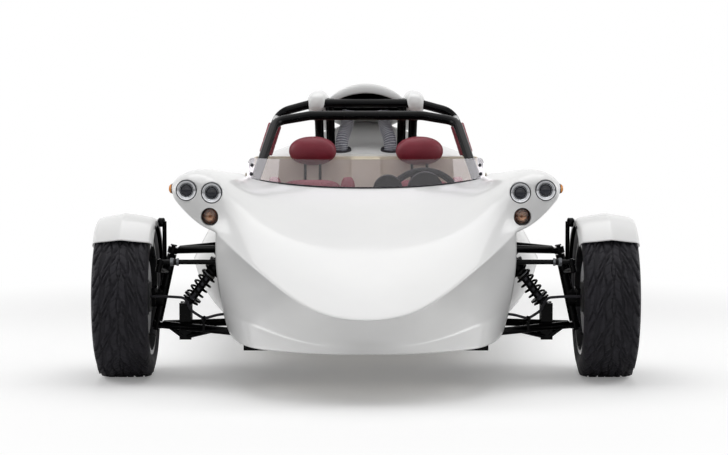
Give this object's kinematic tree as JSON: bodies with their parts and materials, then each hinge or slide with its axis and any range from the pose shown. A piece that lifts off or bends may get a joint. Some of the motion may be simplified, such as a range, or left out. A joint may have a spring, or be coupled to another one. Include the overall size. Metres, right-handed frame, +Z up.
{
  "type": "three wheeled car",
  "caption": "Open two-seat sports three-wheeler with exposed front wheels, roll cage, wing-like lamp pods and a roof scoop; wheels roll and steer.",
  "frame": {"origin": "on the floor, under the centre of the bounding box", "axes": "+Z up, the nose points to -Y, +X is the car's left side"},
  "size_m": [1.982, 3.5005, 1.0771],
  "materials": {
    "body_paint": "gloss pearl white",
    "black_paint": "satin black",
    "lining": "cream lining",
    "seat_cover": "dark red",
    "dash_skin": "black",
    "clear": "clear",
    "chrome_trim": "polished",
    "lamp_amber": "amber",
    "lamp_red": "red",
    "damper": "satin",
    "duct": "grey",
    "hose": "black",
    "rim_metal": "black",
    "disc_steel": "ground",
    "caliper_metal": "cast",
    "tyre": "tread",
    "engine_metal": "cast",
    "exhaust_steel": "satin"
  },
  "bodies": {
    "chassis": {"nose_body": "body_paint", "side_bodies": "body_paint", "cockpit_tub": "lining", "rear_body": "body_paint", "air_scoop": "body_paint", "hoop_fairings": "body_paint", "intake_ducts": "duct", "windscreen": "clear", "tail_body": "body_paint", "roll_cage": "black_paint", "floor_frame": "black_paint", "front_frames": "black_paint", "engine_frame": "black_paint", "seats": "seat_cover", "headrests": "seat_cover", "headrest_posts": "black_paint", "hoop_pads": "seat_cover", "dash": "dash_skin", "pedals": "black_paint", "gear_lever": "dash_skin", "headlamps": "chrome_trim", "headlamp_lenses": "clear", "fog_lamps": "lamp_amber", "side_markers": "lamp_amber", "tail_lamps": "lamp_red", "upper_arms": "black_paint", "lower_arms": "black_paint", "front_shocks": "damper", "front_springs": "black_paint", "brake_hose_l": "hose", "brake_hose_r": "hose", "swingarm": "black_paint", "shock_rear": "damper", "spring_rear": "black_paint", "chain": "disc_steel", "engine": "engine_metal", "exhaust": "exhaust_steel"},
    "upright_l": {"knuckle_l": "black_paint", "caliper_l": "caliper_metal", "fender_l": "body_paint"},
    "upright_r": {"knuckle_r": "black_paint", "caliper_r": "caliper_metal", "fender_r": "body_paint"},
    "wheel_l": {"tyre_l": "tyre", "rim_l": "rim_metal", "disc_l": "disc_steel"},
    "wheel_r": {"tyre_r": "tyre", "rim_r": "rim_metal", "disc_r": "disc_steel"},
    "wheel_rear": {"tyre_rear": "tyre", "rim_rear": "rim_metal", "disc_rear": "disc_steel", "sprocket_rear": "disc_steel"},
    "track_rod_l": {"tie_rod_l": "damper"},
    "track_rod_r": {"tie_rod_r": "damper"},
    "steering": {"steering_wheel": "dash_skin"}
  },
  "joints": [
    {"name": "steer_l", "type": "hinge", "parent": "chassis", "child": "upright_l", "pos_m": [0.775, -0.95, 0.196], "axis": [-0.2124, 0, 0.9772], "range_deg": [-28, 28], "deforming": ["brake_hose_l"]},
    {"name": "steer_r", "type": "hinge", "parent": "chassis", "child": "upright_r", "pos_m": [-0.775, -0.95, 0.196], "axis": [0.2124, 0, 0.9772], "range_deg": [-28.5, 28.5], "deforming": ["brake_hose_r"]},
    {"name": "steering_wheel_turn", "type": "hinge", "parent": "chassis", "child": "steering", "pos_m": [0.232, -0.25, 0.6], "axis": [0, 0.9272, 0.3746], "range_deg": [-260, 260]},
    {"name": "tie_rod_turn_l", "type": "hinge", "parent": "upright_l", "child": "track_rod_l", "pos_m": [0.752, -1.068, 0.438], "axis": [-0.2124, 0, 0.9772], "range_deg": [-28.5, 28.5]},
    {"name": "tie_rod_turn_r", "type": "hinge", "parent": "upright_r", "child": "track_rod_r", "pos_m": [-0.752, -1.068, 0.438], "axis": [0.2124, 0, 0.9772], "range_deg": [-28.5, 28.5]},
    {"name": "wheel_l_spin", "type": "hinge", "parent": "upright_l", "child": "wheel_l", "pos_m": [0.887, -0.95, 0.296], "axis": [1, 0, 0], "continuous": true},
    {"name": "wheel_r_spin", "type": "hinge", "parent": "upright_r", "child": "wheel_r", "pos_m": [-0.887, -0.95, 0.296], "axis": [1, 0, 0], "continuous": true},
    {"name": "wheel_rear_spin", "type": "hinge", "parent": "chassis", "child": "wheel_rear", "pos_m": [0, 1.336, 0.332], "axis": [1, 0, 0], "continuous": true}
  ],
  "couplings": [
    {"joint": "steer_r", "follows": "steer_l", "ratio": 1},
    {"joint": "steering_wheel_turn", "follows": "steer_l", "ratio": 9},
    {"joint": "tie_rod_turn_l", "follows": "steer_l", "ratio": -1},
    {"joint": "tie_rod_turn_r", "follows": "steer_l", "ratio": -1}
  ]
}
